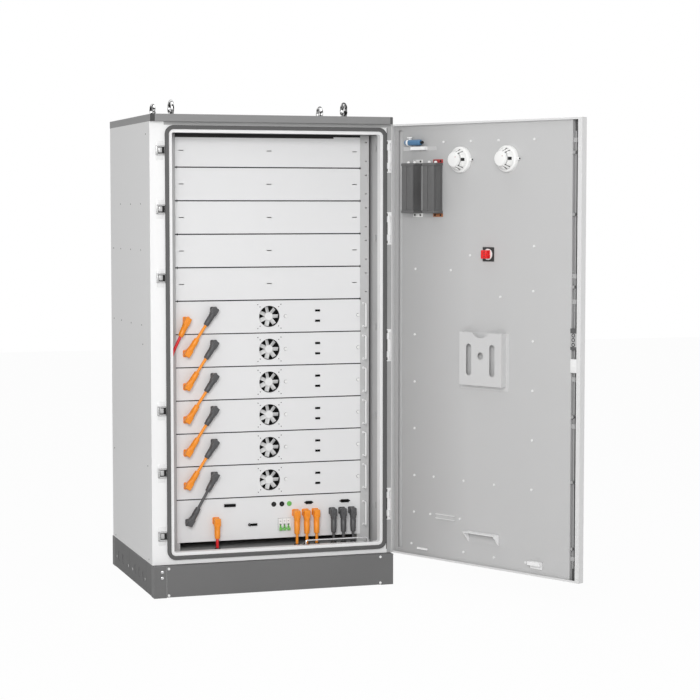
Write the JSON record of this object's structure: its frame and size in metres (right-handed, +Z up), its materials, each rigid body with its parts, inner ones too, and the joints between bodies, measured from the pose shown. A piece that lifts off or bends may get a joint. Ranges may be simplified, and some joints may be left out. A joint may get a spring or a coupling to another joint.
{
  "type": "battery cabinet",
  "caption": "Outdoor battery cabinet with an open front door, a rack of slide-in battery modules, a high-voltage box, fans, power leads and a floor base.",
  "frame": {"origin": "centre of the base's footprint on the floor", "axes": "+Z up, the front looks along -Y, +X to the right seen from the front"},
  "size_m": [1.518, 1.7975, 2.0719],
  "materials": {
    "body_paint": "satin powder coat",
    "liner_paint": "satin powder coat",
    "panel_paint": "satin powder coat",
    "roof_paint": "satin powder coat",
    "base_paint": "fine textured powder coat",
    "zinc_steel": "zinc plated",
    "bright_steel": "polished",
    "seal_rubber": "matt",
    "black_plastic": "fine grain",
    "green_plastic": "gloss",
    "white_plastic": "satin",
    "fan_plastic": "moulded",
    "orange_plastic": "satin",
    "grey_plastic": "moulded",
    "lead_jacket": "extruded jacket",
    "red_jacket": "extruded jacket",
    "extrusion_grey": "anodised dark grey",
    "ear_metal": "painted",
    "blue_plastic": "satin",
    "red_plastic": "gloss",
    "estop_black": "moulded"
  },
  "bodies": {
    "cabinet": {"base_frame": "base_paint", "base_panels": "base_paint", "base_side_plates": "base_paint", "blank_panels": "panel_paint", "body_panels": "body_paint", "breaker_body": "white_plastic", "cable_glands": "black_plastic", "cable_loops": "body_paint", "door_seal": "seal_rubber", "eye_bolts": "bright_steel", "fan_frames": "black_plastic", "frame_hinges": "body_paint", "front_frame": "body_paint", "grey_plugs": "grey_plastic", "hinge_pins": "zinc_steel", "hv_case": "zinc_steel", "hv_panel": "panel_paint", "inner_liner": "body_paint", "latch_keepers": "zinc_steel", "lead_clips": "black_plastic", "module_cases": "zinc_steel", "module_panels": "panel_paint", "module_rails": "zinc_steel", "orange_plugs": "orange_plastic", "ports": "black_plastic", "power_leads": "lead_jacket", "power_sockets": "orange_plastic", "rack_posts": "body_paint", "red_lead": "red_jacket", "roof_cover": "roof_paint", "stay_bracket": "zinc_steel"},
    "door": {"door_skin": "body_paint", "door_liner": "liner_paint", "door_hinges": "body_paint", "door_studs": "liner_paint", "document_pocket": "liner_paint", "smoke_detectors": "white_plastic", "aerosol_units": "extrusion_grey", "unit_ears": "ear_metal", "blue_capsule": "blue_plastic", "door_brackets": "liner_paint", "estop_body": "estop_black", "lock_case": "liner_paint", "handle_base": "black_plastic"},
    "rod_upper": {"rod_upper": "zinc_steel"},
    "rod_lower": {"rod_lower": "zinc_steel"},
    "handle_hub": {"handle_hub": "black_plastic"},
    "handle_lever": {"handle_lever": "black_plastic"},
    "estop_button": {"estop_button": "red_plastic"},
    "button_start": {"button_start": "black_plastic"},
    "button_reset": {"button_reset": "black_plastic"},
    "button_run": {"button_run": "green_plastic"},
    "breaker_toggle": {"breaker_toggle": "green_plastic"},
    "door_stay": {"door_stay": "bright_steel"},
    "fan_rotor_1": {"fan_rotor_1": "fan_plastic"},
    "fan_rotor_2": {"fan_rotor_2": "fan_plastic"},
    "fan_rotor_3": {"fan_rotor_3": "fan_plastic"},
    "fan_rotor_4": {"fan_rotor_4": "fan_plastic"},
    "fan_rotor_5": {"fan_rotor_5": "fan_plastic"},
    "fan_rotor_6": {"fan_rotor_6": "fan_plastic"}
  },
  "joints": [
    {"name": "door_swing", "type": "hinge", "parent": "cabinet", "child": "door", "pos_m": [0.52, -0.425, 1.09], "axis": [0, 0, 1], "range_deg": [-116.6, 3.4]},
    {"name": "handle_turn", "type": "hinge", "parent": "door", "child": "handle_hub", "pos_m": [0.95433, -1.29233, 1.104], "axis": [-0.8942, -0.4478, 0], "range_deg": [0, 90]},
    {"name": "handle_lift", "type": "hinge", "parent": "handle_hub", "child": "handle_lever", "pos_m": [0.97427, -1.28235, 1.104], "axis": [0, 0, 1], "range_deg": [-40, 0]},
    {"name": "rod_upper_slide", "type": "slide", "parent": "door", "child": "rod_upper", "axis": [0, 0, 1], "range_m": [0, 0.02]},
    {"name": "rod_lower_slide", "type": "slide", "parent": "door", "child": "rod_lower", "axis": [0, 0, -1], "range_m": [0, 0.02]},
    {"name": "estop_press", "type": "slide", "parent": "door", "child": "estop_button", "axis": [-0.8942, -0.4478, 0], "range_m": [0, 0.005]},
    {"name": "breaker_throw", "type": "hinge", "parent": "cabinet", "child": "breaker_toggle", "pos_m": [0.0775, -0.286, 0.252], "axis": [1, 0, 0], "range_deg": [-50, 0]},
    {"name": "stay_swing", "type": "hinge", "parent": "cabinet", "child": "door_stay", "pos_m": [0.425, -0.383, 0.19], "axis": [0, 0, 1], "range_deg": [0, 80]},
    {"name": "button_start_press", "type": "slide", "parent": "cabinet", "child": "button_start", "axis": [0, 1, 0], "range_m": [0, 0.002], "stiffness_N_per_m": 400, "springref_m": -0.001},
    {"name": "button_reset_press", "type": "slide", "parent": "cabinet", "child": "button_reset", "axis": [0, 1, 0], "range_m": [0, 0.002], "stiffness_N_per_m": 400, "springref_m": -0.001},
    {"name": "button_run_press", "type": "slide", "parent": "cabinet", "child": "button_run", "axis": [0, 1, 0], "range_m": [0, 0.002], "stiffness_N_per_m": 400, "springref_m": -0.001},
    {"name": "fan_spin_1", "type": "hinge", "parent": "cabinet", "child": "fan_rotor_1", "pos_m": [0.0135, -0.276, 0.456], "axis": [0, 1, 0], "continuous": true},
    {"name": "fan_spin_2", "type": "hinge", "parent": "cabinet", "child": "fan_rotor_2", "pos_m": [0.0135, -0.276, 0.596], "axis": [0, 1, 0], "continuous": true},
    {"name": "fan_spin_3", "type": "hinge", "parent": "cabinet", "child": "fan_rotor_3", "pos_m": [0.0135, -0.276, 0.736], "axis": [0, 1, 0], "continuous": true},
    {"name": "fan_spin_4", "type": "hinge", "parent": "cabinet", "child": "fan_rotor_4", "pos_m": [0.0135, -0.276, 0.876], "axis": [0, 1, 0], "continuous": true},
    {"name": "fan_spin_5", "type": "hinge", "parent": "cabinet", "child": "fan_rotor_5", "pos_m": [0.0135, -0.276, 1.016], "axis": [0, 1, 0], "continuous": true},
    {"name": "fan_spin_6", "type": "hinge", "parent": "cabinet", "child": "fan_rotor_6", "pos_m": [0.0135, -0.276, 1.156], "axis": [0, 1, 0], "continuous": true}
  ],
  "couplings": [
    {"joint": "rod_upper_slide", "follows": "handle_turn", "m_per_rad": 0.012732},
    {"joint": "rod_lower_slide", "follows": "handle_turn", "m_per_rad": 0.012732}
  ]
}
